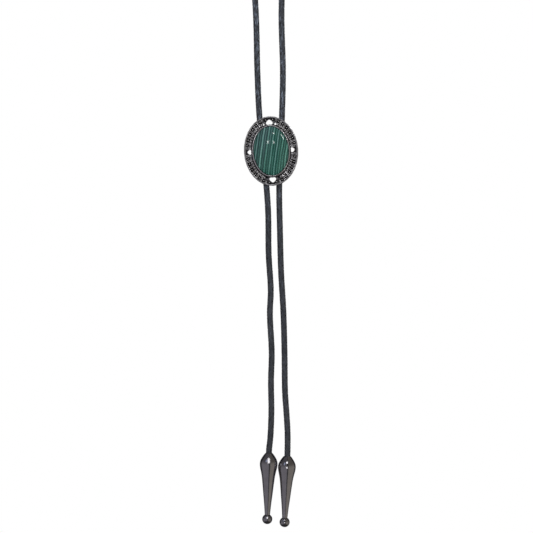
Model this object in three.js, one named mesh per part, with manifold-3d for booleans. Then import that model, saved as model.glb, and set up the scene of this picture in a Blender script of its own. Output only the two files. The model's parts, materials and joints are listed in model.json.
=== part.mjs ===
// A bolo tie hanging by its neck loop: a braided leather cord, an oval cast slide with a domed stone
// and a pierced, beaded border, a plain clip behind the slide, and two turned tips that end in a ball.
// Lengths are in millimetres. +X is to the wearer's left, as seen from the front, +Z is up, and the
// front faces -Y. The origin is under the top of the neck loop, where the tie hangs.
import * as THREE from "three";
import { mergeVertices } from "three/addons/utils/BufferGeometryUtils.js";
import Module from "manifold-3d";

const wasm = await Module();
wasm.setup();

// The space between pieces that touch
const CLEARANCE = 0.3;

// Cord
const CORD_DIAMETER = 4.1;
const CORD_SIDES = 10;
const CORD_STEPS = 80;
const CORD_IN_TIP = 12;

// Slide: where it hangs, and how far its top leans to the left
const SLIDE_X = 2.08;
const SLIDE_Z = -216.6;
const SLIDE_LEAN = THREE.MathUtils.degToRad(3.6);

// Frame of the slide, an oval casting
const FRAME_WIDTH = 38.8;
const FRAME_HEIGHT = 49.7;
const PLATE_THICKNESS = 1.2;
const RIM_WIDTH = 0.85;
const RIM_RISE = 0.9;
const SCALLOP_DEPTH = 0.3;
const SEGMENTS_PER_CELL = 4;

// The border is divided into equal cells, counted clockwise from the top, with a heart in the first
// cell of each quarter
const CELLS_PER_QUARTER = 8;

// Radial bars between the cells, which run into the bezel and the rim
const BAR_WIDTH = 0.75;
const BAR_RISE = 0.65;
const BAR_OVERLAP = 0.3;

// A round bead near the rim and a small knob near the bezel in each cell without a heart
const BEAD_DIAMETER = 1.55;
const BEAD_RISE = 0.95;
const BEAD_PLACE = 0.76;
const KNOB_WIDTH = 1.0;
const KNOB_LENGTH = 1.7;
const KNOB_RISE = 0.6;
const KNOB_PLACE = 0.3;
const BEAD_SIDES = 10;
const BEAD_ROWS = 5;
const KNOB_SIDES = 8;
const KNOB_ROWS = 4;

// Hearts cut through the border, points outwards; those at the sides are smaller
const HEART_WIDTH = 4.9;
const HEART_LENGTH = 3.8;
const HEART_PLACE = 0.4;
const HEART_WALL = 0.45;

// Clockwise from the top: each heart's size, how many cells from it the beads beside it lie, and
// whether it has small triangles beside it
const HEARTS = [
  { size: 1.0, bead: 0.75, triangles: true },
  { size: 0.72, bead: 1.1, triangles: false },
  { size: 1.0, bead: 0.75, triangles: true },
  { size: 0.72, bead: 1.1, triangles: false },
];

// Half of a heart's outline from its notch to its point, as shares of its width and length
const HEART_OUTLINE = [
  { across: 0.0, out: -0.4 },
  { across: 0.2, out: -0.5 },
  { across: 0.41, out: -0.42 },
  { across: 0.5, out: -0.17 },
  { across: 0.4, out: 0.08 },
  { across: 0.2, out: 0.34 },
  { across: 0.0, out: 0.5 },
];

// Small triangles cut through beside a heart, so many cells away from it, under a shorter bar
const TRIANGLE_WIDTH = 2.2;
const TRIANGLE_LENGTH = 2.0;
const TRIANGLE_PLACE = 0.32;
const TRIANGLE_AWAY = 1.5;
const SHORT_BAR_FROM = 0.62;

// Cells from a heart without triangles to the bars beside it
const SIDE_BAR_AWAY = 0.66;

// Stone, an oval cabochon: a straight girdle, then a dome
const STONE_WIDTH = 25;
const STONE_HEIGHT = 35;
const GIRDLE = 1.0;
const DOME_RISE = 4.5;
const DOME_POWER = 2.2;
const DOME_ROUNDING = 0.6;
const STONE_SEGMENTS = 48;
const DOME_ROWS = 8;

// Bezel, the thin wall round the stone, whose lip leans over the stone's edge
const BEZEL_WALL = 0.8;
const BEZEL_ABOVE_GIRDLE = 0.75;
const BEZEL_LEAN = 0.15;
const BEZEL_SEGMENTS = 64;

// Clip behind the slide: a flat pad with a hooked channel for each run of the cord. It leans as the
// cord does, which is less than the slide.
const CLIP_LEAN = THREE.MathUtils.degToRad(1.75);
const CLIP_WALL = 0.8;
const CLIP_LENGTH = 15;
const CLIP_SHIFT = 0.52;
const CHANNEL_SPACING = 12.68;
const CHANNEL_SPLAY = THREE.MathUtils.degToRad(3.92);
const HOOK_FROM = THREE.MathUtils.degToRad(30);
const HOOK_TO = THREE.MathUtils.degToRad(280);
const HOOK_SEGMENTS = 12;

// Tips, turned metal, open at the mouth where the cord goes in
const TIP_LENGTH = 50.8;
const TIP_WIDTH = 12.6;
const TIP_SHOULDER = 7.6;
const TIP_NECK = 3.8;
const TIP_BALL = 7.3;
const TIP_MOUTH_WALL = 0.35;
const TIP_SEGMENTS = 24;
const BALL_ROWS = 7;

// Where each tip's mouth hangs, and how far its foot leans to the left
const LEFT_TIP_X = 0.6;
const LEFT_TIP_Z = -432.4;
const RIGHT_TIP_X = 13.7;
const RIGHT_TIP_Z = -434.6;
const TIPS = [
  { name: "tip_left", x: LEFT_TIP_X, z: LEFT_TIP_Z, lean: THREE.MathUtils.degToRad(1.5) },
  { name: "tip_right", x: RIGHT_TIP_X, z: RIGHT_TIP_Z, lean: THREE.MathUtils.degToRad(2.35) },
];

// Tip's shoulder, from the mouth down: share of the shoulder's height, and of the widening from the
// mouth's width to the widest
const SHOULDER = [
  { down: 0.19, widening: 0.29 },
  { down: 0.38, widening: 0.56 },
  { down: 0.57, widening: 0.78 },
  { down: 0.77, widening: 0.94 },
  { down: 1.0, widening: 1.0 },
];

// Tip's taper, from the widest place down: share of the height to the ball, and of the narrowing
// that is still to come
const TAPER = [
  { down: 0.07, left: 0.95 },
  { down: 0.15, left: 0.8 },
  { down: 0.23, left: 0.665 },
  { down: 0.39, left: 0.5 },
  { down: 0.6, left: 0.32 },
  { down: 0.8, left: 0.14 },
  { down: 1.0, left: 0.0 },
];

// Cord's route, the middle of the cord from its left end, across and up; it hangs in the plane y = 0
const CORD_ROUTE = [
  // in the left tip
  [0.29, -444.4],
  [0.5, -436.6],
  [0.68, -429.6],
  // left run up to the slide
  [1.54, -421.6],
  [2.32, -403.0],
  [2.04, -381.5],
  [2.54, -360.1],
  [1.25, -332.9],
  [1.86, -315.8],
  [0.36, -290.0],
  [0.04, -261.4],
  // straight through the clip's left channel
  [-1.13, -242.7],
  [-3.74, -216.5],
  [-6.24, -191.3],
  // left run up to the neck
  [-7.69, -159.9],
  [-8.76, -118.4],
  // neck loop
  [-11.7, -76.0],
  [-14.6, -42.0],
  [-15.5, -13.45],
  [-10.96, -2.49],
  [0.0, 2.05],
  [10.96, -2.49],
  [15.5, -13.45],
  [14.4, -42.0],
  [11.2, -76.0],
  // right run down to the slide
  [9.55, -118.4],
  [10.55, -159.9],
  // straight through the clip's right channel
  [9.9, -190.9],
  [8.94, -216.1],
  [7.94, -242.4],
  // right run down to the tip
  [8.47, -274.3],
  [9.26, -302.9],
  [10.9, -331.5],
  [11.69, -360.1],
  [12.08, -388.7],
  [13.05, -403.0],
  [13.87, -417.3],
  // in the right tip
  [13.82, -431.7],
  [13.54, -438.7],
  [13.21, -446.6],
];

// Counts and places worked out from the sizes
const CELL_COUNT = CELLS_PER_QUARTER * HEARTS.length;
const CELL_ANGLE = (2 * Math.PI) / CELL_COUNT;
const CORD_RADIUS = CORD_DIAMETER / 2;
const BORE_RADIUS = CORD_RADIUS + CLEARANCE;
const CLIP_FRONT = -(BORE_RADIUS + CLIP_WALL);
const FRAME_BACK = CLIP_FRONT - CLEARANCE;
const PLATE_FRONT = FRAME_BACK - PLATE_THICKNESS;
const STONE_BASE = PLATE_FRONT - CLEARANCE;
const BEZEL_RISE = CLEARANCE + GIRDLE + BEZEL_ABOVE_GIRDLE;
const BEZEL_INNER = CLEARANCE;
const BEZEL_OUTER = CLEARANCE + BEZEL_WALL;
const SUNK = PLATE_THICKNESS / 2;

const GUNMETAL = { color: 0x55565a, roughness: 0.35, metalness: 1.0 };
const BLACK_NICKEL = { color: 0x4a4b50, roughness: 0.15, metalness: 1.0 };
const PLAIN_STEEL = { color: 0x8a8c90, roughness: 0.4, metalness: 1.0 };
const BLACK_LEATHER = { color: 0x1c1e26, roughness: 0.5, metalness: 0.0 };
const GREEN_STONE = { color: 0x1f6a55, roughness: 0.1, metalness: 0.0 };

// Joining and cutting

function solidOf(geometry) {
  const bare = geometry.clone();
  bare.deleteAttribute("normal");
  bare.deleteAttribute("uv");
  const merged = mergeVertices(bare);
  const corners = merged.index.array;
  const triangles = [];
  for (let i = 0; i < corners.length; i += 3) {
    const [a, b, c] = [corners[i], corners[i + 1], corners[i + 2]];
    if (a !== b && b !== c && c !== a) {
      triangles.push(a, b, c);
    }
  }
  return new wasm.Manifold(new wasm.Mesh({
    numProp: 3,
    vertProperties: new Float32Array(merged.attributes.position.array),
    triVerts: new Uint32Array(triangles),
  }));
}

function geometryOf(solid) {
  const mesh = solid.getMesh();
  const geometry = new THREE.BufferGeometry();
  geometry.setAttribute("position", new THREE.BufferAttribute(mesh.vertProperties, mesh.numProp));
  geometry.setIndex(new THREE.BufferAttribute(mesh.triVerts, 1));
  geometry.computeVertexNormals();
  return geometry;
}

function joined(geometries) {
  return geometries.map(solidOf).reduce((whole, piece) => whole.add(piece));
}

function mesh(name, geometry, finish) {
  const made = new THREE.Mesh(geometry, new THREE.MeshStandardMaterial(finish));
  made.name = name;
  return made;
}

// Outlines in the plane of the slide, with x across and y up, and their extrusion towards the front

function ovalPoint(halfWidth, halfHeight, angle) {
  return new THREE.Vector2(halfWidth * Math.sin(angle), halfHeight * Math.cos(angle));
}

// The frame's oval, counter-clockwise, drawn in by a length that may change round it
function frameOutline(inset) {
  const count = CELL_COUNT * SEGMENTS_PER_CELL;
  const points = [];
  for (let i = 0; i < count; i++) {
    const angle = -(i / count) * 2 * Math.PI;
    points.push(ovalPoint(FRAME_WIDTH / 2 - inset(angle), FRAME_HEIGHT / 2 - inset(angle), angle));
  }
  return points;
}

function towardsFront(shape, from, depth) {
  const geometry = new THREE.ExtrudeGeometry(shape, { depth, bevelEnabled: false });
  geometry.rotateX(Math.PI / 2);
  geometry.translate(0, from, 0);
  return geometry;
}

// A place in the border: cell 0 is at the top, share 0 at the bezel and 1 at the rim

function borderPlace(cell, share) {
  const angle = cell * CELL_ANGLE;
  const inner = ovalPoint(STONE_WIDTH / 2 + BEZEL_OUTER, STONE_HEIGHT / 2 + BEZEL_OUTER, angle);
  const rimInset = SCALLOP_DEPTH + RIM_WIDTH;
  const outer = ovalPoint(FRAME_WIDTH / 2 - rimInset, FRAME_HEIGHT / 2 - rimInset, angle);
  const spot = inner.clone().lerp(outer, share);
  const outwards = outer.clone().sub(inner);
  return { x: spot.x, z: spot.y, turn: Math.atan2(outwards.x, outwards.y), width: outwards.length() };
}

function placed(geometry, place, y) {
  geometry.rotateY(place.turn);
  geometry.translate(place.x, y, place.z);
  return geometry;
}

// Frame of the slide

function plateAndRim() {
  const outline = frameOutline((angle) => (SCALLOP_DEPTH / 2) * (1 - Math.cos(CELL_COUNT * angle)));
  const plate = new THREE.Shape(outline);
  const rim = new THREE.Shape(outline);
  rim.holes.push(new THREE.Path(frameOutline(() => SCALLOP_DEPTH + RIM_WIDTH)));
  return [
    towardsFront(plate, FRAME_BACK, PLATE_THICKNESS),
    towardsFront(rim, PLATE_FRONT + SUNK, SUNK + RIM_RISE),
  ];
}

function bezel() {
  // The profile is turned round a circle first, which is then bent to the stone's oval
  const base = STONE_WIDTH;
  const profile = [
    { off: BEZEL_INNER, up: -SUNK },
    { off: BEZEL_INNER, up: CLEARANCE + GIRDLE },
    { off: BEZEL_INNER - BEZEL_LEAN, up: BEZEL_RISE },
    { off: BEZEL_OUTER - BEZEL_WALL / 3, up: BEZEL_RISE },
    { off: BEZEL_OUTER, up: BEZEL_RISE - BEZEL_WALL / 2 },
    { off: BEZEL_OUTER, up: -SUNK },
    { off: BEZEL_INNER, up: -SUNK },
  ];
  const points = profile.map(({ off, up }) => new THREE.Vector2(base + off, PLATE_FRONT - up));
  const geometry = new THREE.LatheGeometry(points, BEZEL_SEGMENTS);
  const position = geometry.attributes.position;
  const halfWidth = STONE_WIDTH / 2;
  const halfHeight = STONE_HEIGHT / 2;
  for (let i = 0; i < position.count; i++) {
    const angle = Math.atan2(position.getX(i), position.getZ(i));
    const off = Math.hypot(position.getX(i), position.getZ(i)) - base;
    const edge = ovalPoint(halfWidth, halfHeight, angle);
    const normal = new THREE.Vector2(Math.sin(angle) / halfWidth, Math.cos(angle) / halfHeight).normalize();
    position.setX(i, edge.x + off * normal.x);
    position.setZ(i, edge.y + off * normal.y);
  }
  return geometry;
}

function bar(cell, from) {
  const start = borderPlace(cell, from);
  const length = (1 - from) * start.width;
  const inwards = from === 0 ? BAR_OVERLAP : 0;
  const geometry = new THREE.BoxGeometry(BAR_WIDTH, SUNK + BAR_RISE, length + inwards + BAR_OVERLAP);
  geometry.translate(0, (SUNK - BAR_RISE) / 2, (length + BAR_OVERLAP - inwards) / 2);
  return placed(geometry, start, PLATE_FRONT);
}

function bead(cell) {
  const geometry = new THREE.SphereGeometry(BEAD_DIAMETER / 2, BEAD_SIDES, BEAD_ROWS);
  return placed(geometry, borderPlace(cell, BEAD_PLACE), PLATE_FRONT - BEAD_RISE + BEAD_DIAMETER / 2);
}

function knob(cell) {
  const geometry = new THREE.SphereGeometry(0.5, KNOB_SIDES, KNOB_ROWS);
  geometry.scale(KNOB_WIDTH, 2 * KNOB_RISE, KNOB_LENGTH);
  return placed(geometry, borderPlace(cell, KNOB_PLACE), PLATE_FRONT);
}

function heartShape(width, length) {
  const right = HEART_OUTLINE.map(({ across, out }) => new THREE.Vector2(across * width, out * length));
  const left = right.slice(1, -1).reverse().map((point) => new THREE.Vector2(-point.x, point.y));
  return new THREE.Shape([...right, ...left]);
}

function triangleShape() {
  const half = TRIANGLE_WIDTH / 2;
  return new THREE.Shape([
    new THREE.Vector2(-half, -TRIANGLE_LENGTH / 2),
    new THREE.Vector2(half, -TRIANGLE_LENGTH / 2),
    new THREE.Vector2(0, TRIANGLE_LENGTH / 2),
  ]);
}

function through(shape, place) {
  const depth = PLATE_THICKNESS + 4 * BEZEL_RISE;
  return placed(towardsFront(shape, depth / 2, depth), place, (FRAME_BACK + PLATE_FRONT) / 2);
}

function heartPlace(quarter) {
  return borderPlace(quarter * CELLS_PER_QUARTER, HEART_PLACE);
}

function heartBorder({ size }, quarter) {
  const walls = 2 * HEART_WALL;
  const shape = heartShape(size * HEART_WIDTH + walls, size * HEART_LENGTH + walls);
  return placed(towardsFront(shape, SUNK, SUNK + BAR_RISE), heartPlace(quarter), PLATE_FRONT);
}

function heartCuts({ size, triangles }, quarter) {
  const cuts = [through(heartShape(size * HEART_WIDTH, size * HEART_LENGTH), heartPlace(quarter))];
  if (triangles) {
    for (const side of [-1, 1]) {
      const cell = quarter * CELLS_PER_QUARTER + side * TRIANGLE_AWAY;
      cuts.push(through(triangleShape(), borderPlace(cell, TRIANGLE_PLACE)));
    }
  }
  return cuts;
}

// The heart nearest to a cell, the cell that it is in, and how far clockwise of it the cell lies
function nearestHeart(cell) {
  const quarter = Math.round(cell / CELLS_PER_QUARTER);
  const centre = quarter * CELLS_PER_QUARTER;
  return { heart: HEARTS[quarter % HEARTS.length], centre, away: cell - centre };
}

function cellRelief(cell) {
  const { heart, centre, away } = nearestHeart(cell);
  if (away === 0) {
    return [];
  }
  if (Math.abs(away) === 1) {
    return [bead(centre + away * heart.bead)];
  }
  return [bead(cell), knob(cell)];
}

function barAfter(cell) {
  const { heart, centre, away } = nearestHeart(cell + 0.5);
  const cellsAway = Math.floor(Math.abs(away));
  if (cellsAway === 0) {
    return heart.triangles ? [] : [bar(centre + Math.sign(away) * SIDE_BAR_AWAY, 0)];
  }
  return [bar(cell + 0.5, cellsAway === 1 && heart.triangles ? SHORT_BAR_FROM : 0)];
}

function conchoFrame() {
  const cells = Array.from({ length: CELL_COUNT }, (_, cell) => cell);
  const raised = joined([
    ...plateAndRim(),
    bezel(),
    ...HEARTS.map(heartBorder),
    ...cells.flatMap(cellRelief),
    ...cells.flatMap(barAfter),
  ]);
  const cuts = HEARTS.flatMap(heartCuts).map(solidOf);
  return geometryOf(cuts.reduce((whole, cut) => whole.subtract(cut), raised));
}

// Stone

function stone() {
  const profile = [new THREE.Vector2(0, 0), new THREE.Vector2(1, 0)];
  for (let row = 0; row <= DOME_ROWS; row++) {
    const share = Math.cos((row / DOME_ROWS) * (Math.PI / 2));
    const out = row === DOME_ROWS ? 0 : share;
    const rise = DOME_RISE * (1 - out ** DOME_POWER) ** DOME_ROUNDING;
    profile.push(new THREE.Vector2(out, GIRDLE + rise));
  }
  const geometry = new THREE.LatheGeometry(profile, STONE_SEGMENTS);
  geometry.scale(STONE_WIDTH / 2, 1, STONE_HEIGHT / 2);
  geometry.rotateX(Math.PI);
  geometry.translate(0, STONE_BASE, 0);
  return geometry;
}

// Clip behind the slide

function channelCentre(side, z) {
  return CLIP_SHIFT + side * (CHANNEL_SPACING / 2 + z * Math.tan(CHANNEL_SPLAY));
}

function hook(side) {
  const shape = new THREE.Shape();
  shape.absarc(0, 0, BORE_RADIUS + CLIP_WALL, HOOK_FROM, HOOK_TO, false);
  shape.absarc(0, 0, BORE_RADIUS, HOOK_TO, HOOK_FROM, true);
  const geometry = new THREE.ExtrudeGeometry(shape, {
    depth: CLIP_LENGTH,
    bevelEnabled: false,
    curveSegments: HOOK_SEGMENTS,
  });
  geometry.translate(0, 0, -CLIP_LENGTH / 2);
  if (side > 0) {
    geometry.rotateZ(Math.PI);
    geometry.rotateX(Math.PI);
  }
  geometry.rotateY(side * CHANNEL_SPLAY);
  geometry.translate(channelCentre(side, 0), 0, 0);
  return geometry;
}

function cordClip() {
  const top = CLIP_LENGTH / 2;
  const pad = new THREE.Shape([
    new THREE.Vector2(channelCentre(-1, -top), -top),
    new THREE.Vector2(channelCentre(1, -top), -top),
    new THREE.Vector2(channelCentre(1, top), top),
    new THREE.Vector2(channelCentre(-1, top), top),
  ]);
  return geometryOf(joined([towardsFront(pad, -BORE_RADIUS, CLIP_WALL), hook(-1), hook(1)]));
}

// Tips

function tip() {
  const mouthRadius = BORE_RADIUS + TIP_MOUTH_WALL;
  const widest = TIP_WIDTH / 2;
  const neck = TIP_NECK / 2;
  const ball = TIP_BALL / 2;
  const ballCentre = TIP_LENGTH - ball;
  const ballTop = ballCentre - Math.sqrt(ball ** 2 - neck ** 2);
  const outside = [new THREE.Vector2(mouthRadius, 0)];
  for (const { down, widening } of SHOULDER) {
    const radius = THREE.MathUtils.lerp(mouthRadius, widest, widening);
    outside.push(new THREE.Vector2(radius, -down * TIP_SHOULDER));
  }
  for (const { down, left } of TAPER) {
    const radius = THREE.MathUtils.lerp(neck, widest, left);
    outside.push(new THREE.Vector2(radius, -THREE.MathUtils.lerp(TIP_SHOULDER, ballTop, down)));
  }
  const startAngle = Math.asin(neck / ball);
  for (let row = 1; row < BALL_ROWS; row++) {
    const angle = THREE.MathUtils.lerp(startAngle, Math.PI, row / BALL_ROWS);
    outside.push(new THREE.Vector2(ball * Math.sin(angle), -ballCentre + ball * Math.cos(angle)));
  }
  const bore = CORD_IN_TIP + CLEARANCE;
  const profile = [
    new THREE.Vector2(0, -TIP_LENGTH),
    ...outside.reverse(),
    new THREE.Vector2(BORE_RADIUS, 0),
    new THREE.Vector2(BORE_RADIUS, -bore),
    new THREE.Vector2(0, -bore),
  ];
  const geometry = new THREE.LatheGeometry(profile, TIP_SEGMENTS);
  geometry.rotateX(Math.PI / 2);
  return geometry;
}

// Cord

function cord() {
  const points = CORD_ROUTE.map(([x, z]) => new THREE.Vector3(x, 0, z));
  const route = new THREE.CatmullRomCurve3(points, false, "centripetal");
  const section = new THREE.Shape();
  for (let side = 0; side < CORD_SIDES; side++) {
    const angle = (side / CORD_SIDES) * 2 * Math.PI;
    const [x, y] = [CORD_RADIUS * Math.cos(angle), CORD_RADIUS * Math.sin(angle)];
    if (side === 0) {
      section.moveTo(x, y);
    } else {
      section.lineTo(x, y);
    }
  }
  return new THREE.ExtrudeGeometry(section, { steps: CORD_STEPS, extrudePath: route });
}

// The whole tie

const slide = new THREE.Group();
slide.add(mesh("concho_frame", conchoFrame(), GUNMETAL));
slide.add(mesh("stone", stone(), GREEN_STONE));
const clip = mesh("cord_clip", cordClip(), PLAIN_STEEL);
clip.rotation.y = SLIDE_LEAN - CLIP_LEAN;
slide.add(clip);
slide.position.set(SLIDE_X, 0, SLIDE_Z);
slide.rotation.y = -SLIDE_LEAN;

const bolo = new THREE.Group();
bolo.add(slide);
bolo.add(mesh("cord", cord(), BLACK_LEATHER));
for (const { name, x, z, lean } of TIPS) {
  const piece = mesh(name, tip(), BLACK_NICKEL);
  piece.position.set(x, 0, z);
  piece.rotation.y = lean;
  bolo.add(piece);
}

export default bolo;
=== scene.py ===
"""A bolo tie as it looks: a braided leather cord, a cast slide with a banded stone, and turned metal tips.

The tables and sizes are in millimetres and become metres where a mesh is made; only the lamps are
placed in metres. +Z is up, the front faces -Y, and the origin is under the top of the neck loop,
where the tie hangs.
"""

import json
import math

import bmesh
import bpy
import numpy as np
from mathutils import Matrix, Vector

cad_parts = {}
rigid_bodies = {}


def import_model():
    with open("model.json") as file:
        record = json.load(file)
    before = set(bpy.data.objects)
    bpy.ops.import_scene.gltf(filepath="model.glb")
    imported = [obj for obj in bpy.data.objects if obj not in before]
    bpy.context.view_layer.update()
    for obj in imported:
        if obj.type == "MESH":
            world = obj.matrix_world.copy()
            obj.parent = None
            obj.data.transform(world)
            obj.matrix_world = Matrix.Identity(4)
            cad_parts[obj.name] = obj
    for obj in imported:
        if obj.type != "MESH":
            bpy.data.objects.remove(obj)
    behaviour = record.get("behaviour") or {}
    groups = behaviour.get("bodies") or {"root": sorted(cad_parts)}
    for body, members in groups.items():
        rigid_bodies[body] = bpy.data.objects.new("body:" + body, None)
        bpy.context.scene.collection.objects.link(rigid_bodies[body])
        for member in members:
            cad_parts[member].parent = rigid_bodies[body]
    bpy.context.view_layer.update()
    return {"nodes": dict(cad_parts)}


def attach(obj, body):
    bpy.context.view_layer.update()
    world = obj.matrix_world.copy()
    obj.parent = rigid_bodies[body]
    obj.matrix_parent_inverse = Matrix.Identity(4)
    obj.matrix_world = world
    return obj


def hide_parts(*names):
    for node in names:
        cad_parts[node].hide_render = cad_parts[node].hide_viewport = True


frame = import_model()

METRE = 0.001

# Camera: it looks along +Y at the middle of the photo's view
VIEW_SIDE = 381.1
VIEW_CENTRE = (-1.18, -298.95)
CAMERA_DISTANCE = 1800.0
SENSOR = 36.0
NEAREST_SEEN = 50.0
FURTHEST_SEEN = 20000.0

# Cord: four strands, two that turn each way, braided round a core
BRAID_PITCH = 17.8
BRAID_RADIUS = 1.65
WEAVE_DEPTH = 0.17
WEAVE_SHARPNESS = 1.7
STRAND_WIDTH = 4.05
STRAND_THICKNESS = 1.0
CORE_RADIUS = 1.4

# How full a strand's section is, across and through it: 1 is an ellipse and 0 a rectangle
STRAND_FULL_ACROSS = 0.8
STRAND_FULL_THROUGH = 0.9

# How closely points lie along and round the cord
CURVE_POINTS = 60
LINE_STEP = 0.25
STRAND_STEP = 0.76
STRAND_SIDES = 18
CORE_STEP = 2.0
CORE_SIDES = 8

# Leather: the heights between which its painted highlights, light flecks that stand in for the lamps'
# glints on the braid, grow from few to many, and how strong the few are, the painted highlights'
# colour, and the size of the grain
FEW_PAINTED_HIGHLIGHTS_Z = -300.0
MANY_PAINTED_HIGHLIGHTS_Z = -160.0
FEW_PAINTED_HIGHLIGHTS = 0.1
PAINTED_HIGHLIGHT_COLOUR = (0.27, 0.32, 0.39, 1.0)
GRAIN_SIZE = 0.28

# Slide: where it hangs, and how far its top leans to the left
SLIDE_X = 2.08
SLIDE_Z = -216.6
SLIDE_LEAN = math.radians(3.6)

# Depths of the slide's layers, from the cord's middle towards the front
FRAME_BACK = -3.45
PLATE_FRONT = -4.65
STONE_BASE = -4.95

# Frame of the slide. The photo shows shallower scallops on its edge than the solid has, whose depth
# still sets where the rim starts
FRAME_WIDTH = 38.8
FRAME_HEIGHT = 49.7
RIM_WIDTH = 0.85
RIM_RISE = 0.9
SOLID_SCALLOP = 0.3
EDGE_SCALLOP = 0.1
STONE_WIDTH = 25.0
STONE_HEIGHT = 35.0
BEZEL_OUTER = 1.1

# Border between the bezel and the rim: its two ovals, its cells, and how closely its points lie
RIM_INSET = SOLID_SCALLOP + RIM_WIDTH
BORDER_INNER = (STONE_WIDTH + 2 * BEZEL_OUTER, STONE_HEIGHT + 2 * BEZEL_OUTER)
BORDER_OUTER = (FRAME_WIDTH - 2 * RIM_INSET, FRAME_HEIGHT - 2 * RIM_INSET)
CELL_COUNT = 32
CELLS_PER_QUARTER = CELL_COUNT // 4
CELL_ANGLE = 2 * math.pi / CELL_COUNT
COLUMNS_PER_CELL = 36
BORDER_ROWS = 48

# Relief of the border. A rise is a height above the plate, a place is a share of the way from the
# bezel to the rim, and two numbers are where a soft edge starts and ends
LAND_RISE = 0.3
INNER_LAND_RISE = 0.5
INNER_LAND_END = (0.42, 0.58)
BEAD_DIAMETER = 1.55
BEAD_RISE = 0.95
BEAD_PLACE = 0.76
HOLLOW_ACROSS = 0.3
HOLLOW_ALONG = 1.2
HOLLOW_EDGE = (0.86, 1.04)
LEG_PLACE = 0.25
LEG_WIDTH = 0.26
LEG_EDGE = (0.35, 0.75)
LEG_START = (0.02, 0.1)
LEG_END = (0.5, 0.62)
LEG_CUT = 0.85
KNOB_WIDTH = 1.0
KNOB_LENGTH = 1.7
KNOB_FOOT = 0.15
KNOB_RISE = 0.6
KNOB_TAPER = 0.25
KNOB_PLACE = 0.3
BAR_SHARE = 0.19
BAR_RISE = 0.65
BAR_GROOVE = 0.35
BAR_GROOVE_EDGE = (0.3, 0.8)
RIDGE_MIDDLE = 0.56
RIDGE_REACH = 0.52
RIDGE_ROUNDING = 0.6
SHORT_BAR_START = (0.56, 0.64)
SIDE_BAR_AWAY = 0.66
FOOT_RISE = 0.5
FOOT_EDGE = (0.0, 0.035)
FOOT_GROOVE_START = (0.02, 0.05)
FOOT_GROOVE_END = (0.1, 0.16)
FOOT_GROOVE_CUT = 0.85

# Pierced hearts with a raised wall, and the small triangles beside some of them
HEART_WIDTH = 4.9
HEART_LENGTH = 3.8
HEART_PLACE = 0.4
HEART_WALL_TOP = 0.27
HEART_WALL = 0.45
HEART_REACH = 1.2
TRIANGLE_WIDTH = 2.2
TRIANGLE_LENGTH = 2.0
TRIANGLE_PLACE = 0.32
TRIANGLE_AWAY = 1.5
CUTTER_ENDS = (FRAME_BACK + 2.0, PLATE_FRONT - 6.0)

# Clockwise from the top: each heart's size, how many cells from it the beads beside it lie, and
# whether it has small triangles beside it
HEARTS = 2 * [
    {"size": 1.0, "bead": 0.75, "triangles": True},
    {"size": 0.72, "bead": 1.1, "triangles": False},
]

# Half of a heart's outline from its notch to its point, as shares of its width and length
HEART_OUTLINE = [(0.0, -0.4), (0.2, -0.5), (0.41, -0.42), (0.5, -0.17), (0.4, 0.08), (0.2, 0.34), (0.0, 0.5)]

# Bezel, from its foot beside the stone over its lip to the border: how far off the stone's edge it
# is, and how high above the plate
BEZEL_PROFILE = [
    (0.3, 0.0), (0.3, 0.7), (0.3, 1.3), (0.24, 1.6), (0.17, 1.85), (0.18, 1.97), (0.26, 2.03),
    (0.4, 2.05), (0.56, 2.04), (0.72, 1.98), (0.86, 1.86), (0.96, 1.66), (1.03, 1.35), (1.07, 1.0),
    (1.09, 0.7),
]

# Rim: the share of its width where it is highest, the share of its rise that its outer edge has,
# how much lower it is between two lobes, and where its rings of points lie
RIM_TOP = 0.45
RIM_EDGE_RISE = 0.28
RIM_LOBE = 0.08
RIM_RINGS = (0.04, 0.1, 0.2, 0.32, 0.45, 0.58, 0.7, 0.8, 0.89, 0.96, 1.0)

# Softened back edge and back of the frame: how far before its back, and the share of its width
BACK_RINGS = [(0.35, 1.0), (0.1, 0.994), (0.0, 0.984), (0.0, 0.9), (0.0, 0.7), (0.0, 0.45), (0.0, 0.2)]

# Antiquing: the heights between which the metal turns from dark to rubbed, on the border and on the
# beads, how uneven that is, and the tones of all that lies behind the plate's front and of the rim's
# outer wall
RUBBED = (0.12, 0.72)
BEAD_RUBBED = (0.5, 1.0)
BEAD_REACH = 0.56
RUBBED_UNEVEN = 0.25
BEHIND_HEIGHT = -0.05
BEHIND_TONE = 0.62
OUTER_SHARE = 0.985
OUTER_TOP = 0.6
OUTER_TONE = 0.7

# Colours of the antiqued metal, from dark to rubbed
METAL_COLOURS = [
    (0.05, (0.03, 0.03, 0.032)),
    (0.35, (0.18, 0.18, 0.188)),
    (0.65, (0.47, 0.47, 0.485)),
    (0.92, (0.85, 0.85, 0.87)),
]

# Stone
GIRDLE = 1.0
DOME_RISE = 4.5
DOME_POWER = 2.2
DOME_ROUNDING = 0.6
DOME_ROWS = 44
STONE_SEGMENTS = 160

# Stone's base and girdle, from below: the share of its width, and the height
STONE_SIDE = [(0.6, 0.0), (0.985, 0.0), (0.995, 0.05), (1.0, 0.16), (1.0, 0.6), (1.0, GIRDLE)]

# Light bands of the stone, every other one brighter: where the first is across it, how far apart
# they are, how far they lean and bend to the right on their way up, and how far they wander
FIRST_BAND = -10.75
BAND_STEP = 1.8
BAND_LEAN = 0.195
BAND_BEND = 0.0015
BAND_WANDER = 0.8
BAND_UNEVEN = 0.6

# Tone of the stone: a factor for the strength of a brighter band and what is added to it, how much all
# bands and the grain lighten it, and how much slower the grain changes along the bands than across
BRIGHT_BAND_TONE = (0.5, -0.12)
BAND_TONE = 0.23
GRAIN_TONE = 0.72
GRAIN_ALONG = 0.02

# The stone is greyer towards its upper left: how much for each millimetre, between which values the
# grey sets in, and the most of it
GREYER_PER_MM = 0.012
GREY_RANGE = (0.35, 0.85)
MOST_GREY = 0.75

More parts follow.
